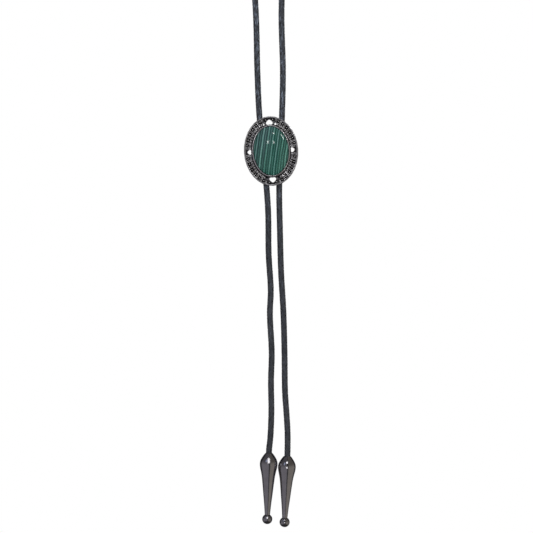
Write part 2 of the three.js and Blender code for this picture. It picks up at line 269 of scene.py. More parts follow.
# Colours of the stone: a tone, and the green and the grey that it has
STONE_COLOURS = [
    (0.3, (0.012, 0.062, 0.048), (0.026, 0.056, 0.062)),
    (0.45, (0.022, 0.1, 0.078), (0.045, 0.088, 0.094)),
    (0.55, (0.04, 0.15, 0.12), (0.075, 0.13, 0.14)),
    (0.68, (0.11, 0.31, 0.25), (0.15, 0.26, 0.27)),
    (0.8, (0.2, 0.46, 0.38), (0.26, 0.42, 0.43)),
]

# Tips
TIP_LENGTH = 50.8
TIP_WIDTH = 12.75
TIP_SHOULDER = 7.6
TIP_NECK = 3.8
TIP_BALL = 7.3
TIP_MOUTH_WALL = 0.35
TIP_MOUTH_EDGE = 0.12
TIP_SEGMENTS = 96
TIP_ROWS = 110
BALL_ROWS = 36
TIPS = [
    {"name": "tip_left", "x": 0.6, "z": -432.4, "lean": math.radians(1.5)},
    {"name": "tip_right", "x": 13.7, "z": -434.6, "lean": math.radians(2.35)},
]

# Tip's bore, from its bottom up to the mouth: radius and depth
BORE_RADIUS = 2.35
BORE_DEPTH = 12.3
BORE_PROFILE = [
    (0.6, BORE_DEPTH),
    (BORE_RADIUS - 0.2, BORE_DEPTH),
    (BORE_RADIUS, BORE_DEPTH - 0.3),
    (BORE_RADIUS, 0.5),
    (BORE_RADIUS + 0.08, 0.05),
]

# Tip's shoulder, from the mouth down: share of the shoulder's height, and of the widening
SHOULDER = [(0.0, 0.0), (0.19, 0.29), (0.38, 0.56), (0.57, 0.78), (0.77, 0.94), (1.0, 1.0)]

# Tip's taper, from the widest place down: share of the height to the ball, and of the narrowing
# that is still to come
TAPER = [(0.07, 0.95), (0.15, 0.8), (0.23, 0.665), (0.39, 0.5), (0.6, 0.32), (0.8, 0.14), (1.0, 0.0)]

# Clip: how wide its rounded edges are, and how near to each other two points of its solid are one
CLIP_EDGE = 0.16
SAME_POINT = 0.002

# Cord's route, the middle of the cord from its left end, across and up; it hangs in the plane y = 0
CORD_ROUTE = [
    # in the left tip
    (0.29, -444.4), (0.5, -436.6), (0.68, -429.6),
    # left run up to the slide
    (1.54, -421.6), (2.32, -403.0), (2.04, -381.5), (2.54, -360.1), (1.25, -332.9), (1.86, -315.8),
    (0.36, -290.0), (0.04, -261.4),
    # straight through the clip's left channel
    (-1.13, -242.7), (-3.74, -216.5), (-6.24, -191.3),
    # left run up to the neck
    (-7.69, -159.9), (-8.76, -118.4),
    # neck loop
    (-11.7, -76.0), (-14.6, -42.0), (-15.5, -13.45), (-10.96, -2.49), (0.0, 2.05), (10.96, -2.49),
    (15.5, -13.45), (14.4, -42.0), (11.2, -76.0),
    # right run down to the slide
    (9.55, -118.4), (10.55, -159.9),
    # straight through the clip's right channel
    (9.9, -190.9), (8.94, -216.1), (7.94, -242.4),
    # right run down to the tip
    (8.47, -274.3), (9.26, -302.9), (10.9, -331.5), (11.69, -360.1), (12.08, -388.7), (13.05, -403.0),
    (13.87, -417.3),
    # in the right tip
    (13.82, -431.7), (13.54, -438.7), (13.21, -446.6),
]

# Floor below the hanging tie, which fades out towards its edge
FLOOR_Z = -585.0
FLOOR_FADE_START = 300.0
FLOOR_RADIUS = 560.0
FLOOR_SIDES = 96

# Soft lamps: where they shine from, in degrees to the right of and above the camera's way of looking,
# how many metres away they are if not LAMP_AWAY, their width and height in metres, how bright their
# face is, and the pieces that they light
LAMP_TARGET = Vector((0.0, 0.0, -0.26))
LAMP_AWAY = 1.3
CORD = ("braided_cord",)
STONE = ("cabochon",)
SLIDE = ("slide_frame", "cabochon")
TURNED = ("tip_left_turned", "tip_right_turned")
DARKER = ("slide_frame", "braided_cord", "bent_clip")
LAMPS = [
    {"name": "over", "from": (-4, 50), "size": (0.62, 0.4), "radiance": 2.0, "on": DARKER},
    {"name": "near_left", "from": (-8, 16.6), "size": (0.1, 0.1), "radiance": 9, "on": STONE},
    {"name": "near_right", "from": (7.8, 16.8), "size": (0.1, 0.1), "radiance": 8, "on": STONE},
    {"name": "high_right", "from": (12.5, 38.2), "size": (0.1, 0.1), "radiance": 12, "on": STONE},
    {"name": "side_right", "from": (64, 34.5), "size": (0.2, 0.3), "radiance": 11, "on": SLIDE},
    {"name": "side_left", "from": (-55, 25), "size": (0.3, 0.4), "radiance": 3, "on": SLIDE[:1]},
    {"name": "tall", "from": (1, 28), "size": (0.7, 1.25), "radiance": 1.8, "on": TURNED[:1]},
    {"name": "upper", "from": (3, 42), "size": (0.34, 0.32), "radiance": 3.2, "on": TURNED[1:]},
    {"name": "low", "from": (1, -11.5), "size": (0.36, 0.14), "radiance": 3.8, "on": TURNED[1:]},
]

# Soft cool panels, one that shows in the cord's upper end and one to the left of the tips, and broad
# fills that light the object and the floor without showing in polished metal
PANELS = [
    {"name": "cord_shine", "from": (0, 11.5), "size": (0.2, 0.25), "radiance": 9, "on": CORD},
    {"name": "cool_panel", "from": (-36, 28), "size": (0.4, 0.6), "radiance": 0.6, "on": TURNED},
]
FILLS = [
    {"name": "front_fill", "from": (-20, 45), "away": 1.6, "size": (1.4, 1.4), "radiance": 2.2},
    {"name": "right_fill", "from": (70, 10), "away": 1.6, "size": (1.0, 1.4), "radiance": 1.2},
    {"name": "back_fill", "from": (170, 40), "away": 1.6, "size": (1.4, 1.4), "radiance": 4.0},
    {"name": "on_floor", "from": (0, 90), "size": (2.4, 2.4), "radiance": 1.3, "on": ("floor",)},
]
WHITE_LIGHT = (1.0, 1.0, 1.0)
COOL_LIGHT = (0.6, 0.7, 1.0)

# Sides of the studio: where each starts and ends, in radians to the right of the camera, and how soft
# that is
LEFT_SIDE = {"start": -1.85, "start_soft": 0.25, "end": 0.04, "end_soft": 0.06}
RIGHT_SIDE = {"start": 0.35, "start_soft": 0.06, "end": 2.0, "end_soft": 0.25}
BACK_SIDE = (2.65, 2.85)
FRONT_TONE = (0.05, 0.05, 0.055, 1.0)
LEFT_TONE = (0.245, 0.235, 0.257, 1.0)
RIGHT_TONE = (0.295, 0.273, 0.243, 1.0)
BACK_TONE = (0.5, 0.5, 0.51, 1.0)


# Camera


def add_object(name, data):
    made = bpy.data.objects.new(name, data)
    bpy.context.scene.collection.objects.link(made)
    return made


def make_camera():
    camera = add_object("camera", bpy.data.cameras.new("camera"))
    camera.location = (VIEW_CENTRE[0] * METRE, -CAMERA_DISTANCE * METRE, VIEW_CENTRE[1] * METRE)
    camera.rotation_euler = (math.pi / 2, 0, 0)
    camera.data.sensor_width = SENSOR
    camera.data.lens = SENSOR * CAMERA_DISTANCE / VIEW_SIDE
    camera.data.clip_start = NEAREST_SEEN * METRE
    camera.data.clip_end = FURTHEST_SEEN * METRE
    bpy.context.scene.camera = camera


# Meshes


def make_mesh(name, points, faces):
    mesh = bpy.data.meshes.new(name)
    mesh.from_pydata((np.asarray(points, float) * METRE).tolist(), [], faces)
    mesh.validate()
    mesh.update()
    return mesh


def smooth(mesh, sharp_above=None):
    """Smooth shading, apart from edges that turn by more than an angle in degrees."""
    mesh.polygons.foreach_set("use_smooth", [True] * len(mesh.polygons))
    if sharp_above is not None:
        mesh.set_sharp_from_angle(angle=math.radians(sharp_above))
    mesh.update()


def make_piece(name, mesh, material, node, place=None):
    piece = add_object(name, mesh)
    if place is not None:
        piece.matrix_world = place
    mesh.materials.clear()
    mesh.materials.append(material)
    bpy.context.view_layer.update()
    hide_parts(node)
    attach(piece, "root")
    return piece


def hung_at(x, z, lean):
    """A place in the cord's plane, with the top leaning to the right by an angle."""
    return Matrix.Translation((x * METRE, 0, z * METRE)) @ Matrix.Rotation(lean, 4, "Y")


def grid_faces(rows, columns, start=0):
    """Quads between neighbouring rows of points, each row a closed ring."""
    faces = []
    for row in range(rows - 1):
        for column in range(columns):
            after = (column + 1) % columns
            low = start + row * columns
            high = low + columns
            faces.append((low + column, low + after, high + after, high + column))
    return faces


def tube_faces(rows, columns, start):
    """Faces of a tube from its rings of points, with a flat face on each end."""
    last_ring = start + (rows - 1) * columns
    faces = grid_faces(rows, columns, start)
    faces.append(tuple(start + i for i in reversed(range(columns))))
    faces.append(tuple(last_ring + i for i in range(columns)))
    return faces


def closed_mesh(name, rings, last_point, first_point):
    """A body from rings of points, each end closed by triangles to a point in its middle."""
    columns = len(rings[0])
    points = np.concatenate([*rings, [last_point, first_point]])
    faces = grid_faces(len(rings), columns)
    start = (len(rings) - 1) * columns
    last = len(rings) * columns
    for column in range(columns):
        after = (column + 1) % columns
        faces.append((start + column, start + after, last))
        faces.append((after, column, last + 1))
    return make_mesh(name, points, faces)


def smooth_curve(points, count):
    """Points at even steps of x on a smooth curve through some others: their x, and their y."""
    x, y = np.array(points, float).T
    slopes = np.gradient(y, x)
    places = np.linspace(x[0], x[-1], count)
    values = np.empty(count)
    for i, place in enumerate(places):
        k = min(max(np.searchsorted(x, place, side="right") - 1, 0), len(x) - 2)
        width = x[k + 1] - x[k]
        t = (place - x[k]) / width
        values[i] = (
            (2 * t**3 - 3 * t**2 + 1) * y[k]
            + (t**3 - 2 * t**2 + t) * width * slopes[k]
            + (3 * t**2 - 2 * t**3) * y[k + 1]
            + (t**3 - t**2) * width * slopes[k + 1]
        )
    return places, values


# Cord


def cord_line():
    """The cord's middle line at even steps: a centripetal curve through its route."""
    route = [np.array((x, z), float) for x, z in CORD_ROUTE]
    route.insert(0, 2 * route[0] - route[1])
    route.append(2 * route[-1] - route[-2])
    dense = []
    t = np.linspace(0, 1, CURVE_POINTS, endpoint=False)[:, None]
    for a, b, c, d in zip(route, route[1:], route[2:], route[3:]):
        first = np.linalg.norm(b - a) ** 0.5
        middle = np.linalg.norm(c - b) ** 0.5
        last = np.linalg.norm(d - c) ** 0.5
        leave = middle * ((b - a) / first - (c - a) / (first + middle) + (c - b) / middle)
        arrive = middle * ((c - b) / middle - (d - b) / (middle + last) + (d - c) / last)
        dense.append(
            b
            + leave * t
            + (3 * c - 3 * b - 2 * leave - arrive) * t**2
            + (2 * b - 2 * c + leave + arrive) * t**3
        )
    dense.append(route[-2][None, :])
    dense = np.concatenate(dense)
    lengths = np.concatenate([[0], np.cumsum(np.linalg.norm(np.diff(dense, axis=0), axis=1))])
    places = np.linspace(0, lengths[-1], int(lengths[-1] / LINE_STEP) + 1)
    x = np.interp(places, lengths, dense[:, 0])
    z = np.interp(places, lengths, dense[:, 1])
    return places, x, z


def cord_points(line, along, angle, radius):
    """Points round the cord: how far along it, the angle round it from the front, and the radius."""
    places, x, z = line
    along = np.clip(along, places[0], places[-1])
    slope_x = np.gradient(x, places)
    slope_z = np.gradient(z, places)
    side_x = -np.interp(along, places, slope_z)
    side_z = np.interp(along, places, slope_x)
    across = radius * np.sin(angle)
    return np.stack(
        [
            np.interp(along, places, x) + across * side_x,
            -radius * np.cos(angle),
            np.interp(along, places, z) + across * side_z,
        ],
        axis=-1,
    )


def ring_grid(length, apart, sides):
    """How far along the cord its rings are, as a column, and the angles round a ring, as a row."""
    along = np.linspace(0, length, int(length / apart) + 1)[:, None]
    angles = np.linspace(0, 2 * math.pi, sides, endpoint=False)[None, :]
    return along, angles


def strand(line, turn, start):
    """One strand of the braid as rings of points, over one neighbour and under the next."""
    along, round_section = ring_grid(line[0][-1], STRAND_STEP, STRAND_SIDES)
    cosine = np.cos(round_section)
    sine = np.sin(round_section)
    across = STRAND_WIDTH / 2 * np.sign(cosine) * np.abs(cosine) ** STRAND_FULL_ACROSS
    rise = STRAND_THICKNESS / 2 * np.sign(sine) * np.abs(sine) ** STRAND_FULL_THROUGH
    slant = math.atan(2 * math.pi * BRAID_RADIUS / BRAID_PITCH)
    angle = start + turn * 2 * math.pi * along / BRAID_PITCH + across * math.cos(slant) / BRAID_RADIUS
    weave = np.tanh(WEAVE_SHARPNESS * np.cos(2 * angle)) / math.tanh(WEAVE_SHARPNESS)
    radius = BRAID_RADIUS + turn * WEAVE_DEPTH * weave + rise
    place = along - turn * across * math.sin(slant)
    return cord_points(line, place, angle - math.pi / 4, radius)


def cord_core(line):
    along, angle = ring_grid(line[0][-1], CORE_STEP, CORE_SIDES)
    return cord_points(line, along + 0 * angle, angle + 0 * along, CORE_RADIUS)


def make_cord(material):
    line = cord_line()
    tubes = [strand(line, turn, start) for turn in (1, -1) for start in (0, math.pi)]
    tubes.append(cord_core(line))
    faces = []
    count = 0
    for rings in tubes:
        rows, columns = rings.shape[:2]
        faces += tube_faces(rows, columns, count)
        count += rows * columns
    points = np.concatenate([rings.reshape(-1, 3) for rings in tubes])
    mesh = make_mesh("braided_cord", points, faces)
    smooth(mesh)
    piece = make_piece("braided_cord", mesh, material, "cord")


# Frame of the slide, in the slide's own frame


def oval(width, height, angle):
    return np.stack([width / 2 * np.sin(angle), height / 2 * np.cos(angle)], axis=-1)


def border_place(cell, share):
    """A place in the border: cell 0 is at the top, share 0 at the bezel and 1 at the rim."""
    angle = np.asarray(cell, float) * CELL_ANGLE
    inner = oval(*BORDER_INNER, angle)
    outer = oval(*BORDER_OUTER, angle)
    share = np.asarray(share, float)[..., None]
    return inner + (outer - inner) * share


def border_directions(cell):
    """The directions sideways and outwards at a cell of the border."""
    outwards = border_place(cell, 1.0) - border_place(cell, 0.0)
    outwards = outwards / np.linalg.norm(outwards)
    return np.array([outwards[1], -outwards[0]]), outwards


def from_spot(points, cell, share):
    """How far points lie sideways and outwards from a place in the border."""
    sideways, outwards = border_directions(cell)
    away = points - border_place(cell, share)
    return (away * sideways).sum(-1), (away * outwards).sum(-1)


def cells_from(middle, cell):
    """How many cells each of some cells is past a middle, the shorter way round."""
    return (cell - middle + CELL_COUNT / 2) % CELL_COUNT - CELL_COUNT / 2


def step(low, high, value):
    t = np.clip((value - low) / (high - low), 0, 1)
    return t * t * (3 - 2 * t)


def dome(distance, radius, rise):
    """Height of a rounded bump at a distance from its middle."""
    return rise * np.sqrt(np.clip(1 - (distance / radius) ** 2, 0, 1))


def rounded(points, passes):
    """A closed outline with its corners cut, again and again."""
    for _ in range(passes):
        after = np.roll(points, -1, axis=0)
        points = np.stack([points * 0.75 + after * 0.25, points * 0.25 + after * 0.75], axis=1)
        points = points.reshape(-1, 2)
    return points


def heart_outline(heart):
    width = heart["size"] * HEART_WIDTH
    length = heart["size"] * HEART_LENGTH
    right = [(across * width, out * length) for across, out in HEART_OUTLINE]
    left = [(-across, out) for across, out in right[-2:0:-1]]
    return rounded(np.array(right + left), passes=3)


def triangle_outline():
    half = TRIANGLE_WIDTH / 2
    out = TRIANGLE_LENGTH / 2
    return rounded(np.array([(-half, -out), (half, -out), (0.0, out)]), passes=2)


def outline_distance(across, out, points):
    """Distance from an outline, below 0 inside it."""
    place = np.stack([across, out], axis=-1)
    nearest = np.full(across.shape, np.inf)
    inside = np.zeros(across.shape, bool)
    for start, end in zip(points, np.roll(points, -1, axis=0)):
        edge = end - start
        along = np.clip(((place - start) @ edge) / (edge @ edge), 0, 1)
        nearest = np.minimum(nearest, np.linalg.norm(place - start - along[..., None] * edge, axis=-1))
        crosses = (start[1] > out) != (end[1] > out)
        with np.errstate(divide="ignore", invalid="ignore"):
            meets = start[0] + (out - start[1]) / (end[1] - start[1]) * edge[0]
        inside ^= crosses & (across < meets)
    return np.where(inside, -nearest, nearest)


def nearest_heart(cell):
    """The heart nearest to a cell, the heart's own cell, and how many cells past it the cell is."""
    quarter = round(cell / CELLS_PER_QUARTER)
    centre = quarter * CELLS_PER_QUARTER
    return HEARTS[quarter % len(HEARTS)], centre, cell - centre


def find_beads():
    """Each bead's cell, and whether it has a knob: a bead that a heart pushes aside has none."""
    beads = []
    for i in range(CELL_COUNT):
        heart, centre, away = nearest_heart(i)
        if abs(away) == 1:
            beads.append({"cell": centre + away * heart["bead"], "knob": False})
        elif away != 0:
            beads.append({"cell": i, "knob": True})
    return beads


def find_bars():
    """Each pair of ridges: the cell of its middle, and whether a triangle shortens it."""
    bars = []
    for i in range(CELL_COUNT):
        heart, centre, away = nearest_heart(i + 0.5)
        if abs(away) > 1:
            bars.append({"cell": i + 0.5, "short": heart["triangles"] and abs(away) < 2})
        elif not heart["triangles"]:
            cell = (centre + math.copysign(SIDE_BAR_AWAY, away)) % CELL_COUNT
            bars.append({"cell": cell, "short": False})
    return bars


def hollow_cut(bead, gap, width, share, sideways, outwards):
    """Share of the ground that a bead's hollow and its two thin grooves to the bezel cut away."""
    across = HOLLOW_ACROSS * width
    hollow = np.sqrt((sideways / across) ** 2 + (np.minimum(outwards, 0) / HOLLOW_ALONG) ** 2)
    cut = 1 - step(*HOLLOW_EDGE, hollow)
    if bead["knob"]:
        leg = np.abs(np.abs(gap) - LEG_PLACE) * width
        groove = 1 - step(LEG_WIDTH * LEG_EDGE[0], LEG_WIDTH * LEG_EDGE[1], leg)
        groove *= step(*LEG_START, share) * (1 - step(*LEG_END, share))
        cut = np.maximum(cut, groove * LEG_CUT)
    return cut


def knob_height(points, cell):
    sideways, outwards = from_spot(points, cell, KNOB_PLACE)
    taper = 1 - KNOB_TAPER * outwards / (KNOB_LENGTH / 2)
    distance = np.hypot(sideways / (KNOB_WIDTH / 2 * taper), outwards / (KNOB_LENGTH / 2))
    return KNOB_FOOT * (distance < 1) + dome(distance, 1, KNOB_RISE)


def bar_height(bar, gap, width, share):
    """Height of a pair of thin ridges with a groove between them."""
    half = BAR_SHARE * width
    off = np.abs(gap) * width
    from_ridge = (off - half * RIDGE_MIDDLE) / (half * RIDGE_REACH)
    ridge = BAR_RISE * np.clip(1 - from_ridge**2, 0, 1) ** RIDGE_ROUNDING
    groove_floor = (off < half) * (BAR_RISE - BAR_GROOVE) * (1 - step(*BAR_GROOVE_EDGE, off / half))
    height = np.maximum(ridge, groove_floor)
    return height * step(*SHORT_BAR_START, share) if bar["short"] else height


def border_height(cell, share):
    """Height of the border's relief above the plate, at cells and shares."""
    points = border_place(cell, share)
    width = np.linalg.norm(border_place(cell + 0.5, share) - border_place(cell - 0.5, share), axis=-1)
    height = LAND_RISE + (INNER_LAND_RISE - LAND_RISE) * (1 - step(*INNER_LAND_END, share))
    bumps = []
    for bead in find_beads():
        gap = cells_from(bead["cell"], cell)
        near = np.abs(gap) < 1
        sideways, outwards = from_spot(points, bead["cell"], BEAD_PLACE)
        cut = hollow_cut(bead, gap, width, share, sideways, outwards)
        height = np.where(near, height * (1 - cut), height)
        bumps.append((near, dome(np.hypot(sideways, outwards), BEAD_DIAMETER / 2, BEAD_RISE)))
        if bead["knob"]:
            bumps.append((near, knob_height(points, bead["cell"])))
    for bar in find_bars():
        gap = cells_from(bar["cell"], cell)
        bumps.append((np.abs(gap) < 0.5, bar_height(bar, gap, width, share)))
    for near, bump_height in bumps:
        height = np.where(near, np.maximum(height, bump_height), height)

    # raised walls round the hearts
    for quarter, heart in enumerate(HEARTS):
        centre = quarter * CELLS_PER_QUARTER
        near = np.abs(cells_from(centre, cell)) < HEART_REACH
        across, out = from_spot(points[near], centre, HEART_PLACE)
        distance = outline_distance(across, out, heart_outline(heart))
        wall = BAR_RISE * (1 - step(HEART_WALL_TOP, HEART_WALL, distance))
        outside = height[near] * (distance > HEART_WALL)
        height[near] = np.where(wall > 0, np.maximum(outside, wall), height[near])
    return height


def rim_height(cell, share):
    """Height of the rim: share 0 at its inner edge and 1 at its outer, with a lobe on each cell."""
    fall = np.abs(share - RIM_TOP) ** 3 / (1 - RIM_TOP) ** 3
    round_over = np.clip(1 - fall, 0, 1) ** 0.5
    lobe = 1 - RIM_LOBE + RIM_LOBE * np.cos(math.pi * (cell - np.round(cell))) ** 2
    return RIM_RISE * (RIM_EDGE_RISE + (1 - RIM_EDGE_RISE) * round_over) * lobe


def frame_mesh():
    columns = CELL_COUNT * COLUMNS_PER_CELL
    cell = np.arange(columns) / COLUMNS_PER_CELL
    angle = cell * CELL_ANGLE
    rows = []

    # bezel, offset along the stone's edge
    edge = oval(STONE_WIDTH, STONE_HEIGHT, angle)
    normal = np.stack([np.sin(angle) / STONE_WIDTH, np.cos(angle) / STONE_HEIGHT], axis=-1)
    normal = normal / np.linalg.norm(normal, axis=-1, keepdims=True)
    for off, up in BEZEL_PROFILE:
        rows.append((edge + off * normal, np.full(columns, PLATE_FRONT - up)))

    # border, with the bezel's foot and the groove beside it
    for i in range(BORDER_ROWS):
        share = np.full(columns, i / (BORDER_ROWS - 1))
        foot = FOOT_RISE * (1 - step(*FOOT_EDGE, share))
        groove = step(*FOOT_GROOVE_START, share) * (1 - step(*FOOT_GROOVE_END, share))
        height = border_height(cell, share) * (1 - FOOT_GROOVE_CUT * groove)
        rows.append((border_place(cell, share), PLATE_FRONT - np.maximum(height, foot)))

    # rim, out to the scalloped edge
    inner = oval(*BORDER_OUTER, angle)
    scallop = EDGE_SCALLOP / 2 * (1 - np.cos(CELL_COUNT * angle))
    outer = oval(FRAME_WIDTH - 2 * scallop, FRAME_HEIGHT - 2 * scallop, angle)
    for share in RIM_RINGS:
        rows.append((inner + (outer - inner) * share, PLATE_FRONT - rim_height(cell, share)))

    # side wall and back
    rows.append((outer, np.full(columns, PLATE_FRONT)))
    for before_back, share in BACK_RINGS:
        rows.append((outer * share, np.full(columns, FRAME_BACK - before_back)))

    rings = [np.stack([place[:, 0], depth, place[:, 1]], axis=-1) for place, depth in rows]
    return closed_mesh("slide_frame", rings, [0, FRAME_BACK, 0], [0, PLATE_FRONT, 0])


def cutter(name, outline, cell, share):
    """A prism through the frame with an outline that points outwards from a place in the border."""
    sideways, outwards = border_directions(cell)
    flat = border_place(cell, share) + outline[:, :1] * sideways + outline[:, 1:] * outwards
    count = len(flat)
    points = [(x, depth, z) for depth in CUTTER_ENDS for x, z in flat]
    faces = [tuple(range(count)), tuple(range(2 * count - 1, count - 1, -1))]
    faces += [(i, count + i, count + (i + 1) % count, (i + 1) % count) for i in range(count)]
    mesh = make_mesh(name, points, faces)
    made = bmesh.new()
    made.from_mesh(mesh)
    bmesh.ops.recalc_face_normals(made, faces=made.faces)
    made.to_mesh(mesh)
    made.free()
    return bpy.data.objects.new(name, mesh)


def heart_cutters():
    cutters = []
    for quarter, heart in enumerate(HEARTS):
        centre = quarter * CELLS_PER_QUARTER
        cutters.append(cutter(f"heart_{quarter}", heart_outline(heart), centre, HEART_PLACE))
        if heart["triangles"]:
            for side in (-1, 1):
                name = f"triangle_{quarter}_{side + 1}"
                cell = centre + side * TRIANGLE_AWAY
                cutters.append(cutter(name, triangle_outline(), cell, TRIANGLE_PLACE))
    return cutters


def mark_relief(mesh):
    """Stores how rubbed each point is, from how far it stands up, for the dark antiquing."""
    places = np.empty(len(mesh.vertices) * 3)
    mesh.vertices.foreach_get("co", places)
    places = places.reshape(-1, 3) / METRE
    height = PLATE_FRONT - places[:, 1]
    relief = step(*RUBBED, height)
    for bead in find_beads():
        spot = border_place(bead["cell"], BEAD_PLACE)
        away = np.hypot(places[:, 0] - spot[0], places[:, 2] - spot[1])
        relief = np.where(away < BEAD_DIAMETER * BEAD_REACH, step(*BEAD_RUBBED, height), relief)
    relief = np.where(height < BEHIND_HEIGHT, BEHIND_TONE, relief)
    oval_share = np.hypot(places[:, 0] / (FRAME_WIDTH / 2), places[:, 2] / (FRAME_HEIGHT / 2))
    relief = np.where((oval_share > OUTER_SHARE) & (height < OUTER_TOP), OUTER_TONE, relief)
    attribute = mesh.attributes.new("relief", "FLOAT", "POINT")
    attribute.data.foreach_set("value", relief.astype(np.float32))


def make_frame(material, place):
    body = add_object("slide_frame", frame_mesh())
    cutters = bpy.data.collections.new("cutters")
    bpy.context.scene.collection.children.link(cutters)
    for made in heart_cutters():
        cutters.objects.link(made)
    cut = body.modifiers.new("hearts", "BOOLEAN")
    cut.operation = "DIFFERENCE"
    cut.operand_type = "COLLECTION"
    cut.collection = cutters
    cut.solver = "MANIFOLD"
    graph = bpy.context.evaluated_depsgraph_get()
    finished = bpy.data.meshes.new_from_object(body.evaluated_get(graph))
    finished.name = "slide_frame"
    bpy.data.objects.remove(body)
    for made in list(cutters.objects):
        bpy.data.objects.remove(made)
    bpy.data.collections.remove(cutters)
    mark_relief(finished)
    smooth(finished, sharp_above=55)
    make_piece("slide_frame", finished, material, "concho_frame", place)


# Stone


def make_stone(material, place):
    angle = np.linspace(0, 2 * math.pi, STONE_SEGMENTS, endpoint=False)
    edge = oval(STONE_WIDTH, STONE_HEIGHT, angle)
    rows = list(STONE_SIDE)
    for i in range(1, DOME_ROWS):
        out = math.cos(i / DOME_ROWS * math.pi / 2)
        rows.append((out, GIRDLE + DOME_RISE * (1 - out**DOME_POWER) ** DOME_ROUNDING))
    rings = [
        np.stack([edge[:, 0] * out, np.full(STONE_SEGMENTS, STONE_BASE - up), edge[:, 1] * out], -1)
        for out, up in rows
    ]
    top = STONE_BASE - GIRDLE - DOME_RISE
    mesh = closed_mesh("cabochon", rings, [0, top, 0], [0, STONE_BASE, 0])
    smooth(mesh, sharp_above=60)
    make_piece("cabochon", mesh, material, "stone", place)


# Tips


def tip_profile():
    """Half the tip's outline as radius and depth, from the mouth's edge down to the ball's end."""
    mouth = BORE_RADIUS + TIP_MOUTH_WALL
    widest = TIP_WIDTH / 2
    neck = TIP_NECK / 2
    ball = TIP_BALL / 2
    ball_centre = TIP_LENGTH - ball
    ball_top = ball_centre - math.sqrt(ball**2 - neck**2)
    taper = ball_top - TIP_SHOULDER
    points = [(down * TIP_SHOULDER, mouth + (widest - mouth) * widening) for down, widening in SHOULDER]
    points += [(TIP_SHOULDER + taper * down, neck + (widest - neck) * left) for down, left in TAPER]
    downs, radii = smooth_curve(points, TIP_ROWS)
    profile = [(mouth - TIP_MOUTH_EDGE, 0.0), (radii[0], TIP_MOUTH_EDGE)]
    profile += list(zip(radii[1:], downs[1:]))
    start = math.asin(neck / ball)
    for i in range(1, BALL_ROWS):
        angle = start + (math.pi - start) * i / BALL_ROWS
        profile.append((ball * math.sin(angle), ball_centre - ball * math.cos(angle)))
    return profile


def make_tip(material, name, x, z, lean):
    angle = np.linspace(0, 2 * math.pi, TIP_SEGMENTS, endpoint=False)
    rings = [
        np.stack([radius * np.sin(angle), radius * np.cos(angle), np.full(TIP_SEGMENTS, -down)], -1)
        for radius, down in BORE_PROFILE + tip_profile()
    ]
    mesh = closed_mesh(f"{name}_turned", rings, [0, 0, -TIP_LENGTH], [0, 0, -BORE_DEPTH])
    mesh.flip_normals()
    smooth(mesh, sharp_above=45)
    make_piece(f"{name}_turned", mesh, material, name, hung_at(x, z, lean))


# Clip


def make_clip(material):
    source = frame["nodes"]["cord_clip"]
    mesh = source.data.copy()
    mesh.name = "bent_clip"
    mesh.transform(source.matrix_world)
    made = bmesh.new()
    made.from_mesh(mesh)
    bmesh.ops.remove_doubles(made, verts=made.verts, dist=SAME_POINT * METRE)
    bmesh.ops.dissolve_limit(made, angle_limit=math.radians(1), verts=made.verts, edges=made.edges)
    made.to_mesh(mesh)
    made.free()
    smooth(mesh, sharp_above=40)
    piece = make_piece("bent_clip", mesh, material, "cord_clip")
    bevel = piece.modifiers.new("soft_edges", "BEVEL")
    bevel.width = CLIP_EDGE * METRE
    bevel.segments = 3
    bevel.limit_method = "ANGLE"
    bevel.angle_limit = math.radians(45)
    bevel.harden_normals = True


# Parts of materials


def add_node(tree, kind, inputs=None, **settings):
    """A shader node with its settings; an input's value is a number, a colour or a node's output."""
    node = tree.nodes.new("ShaderNode" + kind)
    for name, value in settings.items():
        setattr(node, name, value)
    for name, value in (inputs or {}).items():
        if isinstance(value, bpy.types.NodeSocket):
            tree.links.new(value, node.inputs[name])
        else:
            node.inputs[name].default_value = value
    return node


def math_node(tree, operation, *values):
    """The result of some arithmetic; a value is a number or another node's output."""
    made = add_node(tree, "Math", dict(enumerate(values)), operation=operation)
    return made.outputs["Value"]


def start_material(name, metallic=0.0):
    """A material, its nodes, its shader, and the place on the piece as a node's output."""
    material = bpy.data.materials.new(name)
    material.use_nodes = True
    tree = material.node_tree
    tree.nodes.clear()
    shader = add_node(tree, "BsdfPrincipled", {"Metallic": metallic})
    add_node(tree, "OutputMaterial", {"Surface": shader.outputs["BSDF"]})
    return material, tree, shader, add_node(tree, "TexCoord").outputs["Object"]


def scaled(tree, value, factor, added):
    return math_node(tree, "MULTIPLY_ADD", value, factor, added)


def link(source, shader, name):
    shader.id_data.links.new(source, shader.inputs[name])


def parts_of(tree, vector):
    return add_node(tree, "SeparateXYZ", {"Vector": vector}).outputs


def multiplied(tree, place, *factors):
    """A place with its coordinates multiplied, so that noise on it is longer where a factor is small."""
    return add_node(tree, "Mapping", {"Vector": place, "Scale": factors}).outputs["Vector"]


def scale(tree, value, low, high):
    """A value from 0 to 1 brought between low and high."""
    made = add_node(tree, "MapRange", {"Value": value, "To Min": low, "To Max": high})
    return made.outputs["Result"]


def soft_step(tree, value, start, end, low=0.0, high=1.0):
    """Low where a value is below the start and high where it is above the end, and smooth between."""
    inputs = {"Value": value, "From Min": start, "From Max": end, "To Min": low, "To Max": high}
    return add_node(tree, "MapRange", inputs, interpolation_type="SMOOTHSTEP").outputs["Result"]


def ramp(tree, value, stops):
    """A colour for each value, between stops that have a position and a colour."""
    made = add_node(tree, "ValToRGB", {"Fac": value})
    elements = made.color_ramp.elements
    while len(elements) < len(stops):
        elements.new(0.5)
    for element, (position, colour) in zip(elements, stops):
        element.position = position
        element.color = (*colour, 1.0)
    return made.outputs["Color"]


def mix(tree, share, first, second):
    """The first colour where the share is 0, and the second where it is 1."""
    # a mix node's two colours are its inputs 6 and 7, and the result is its output 2
    made = add_node(tree, "Mix", {"Factor": share, 6: first, 7: second}, data_type="RGBA")
    return made.outputs[2]


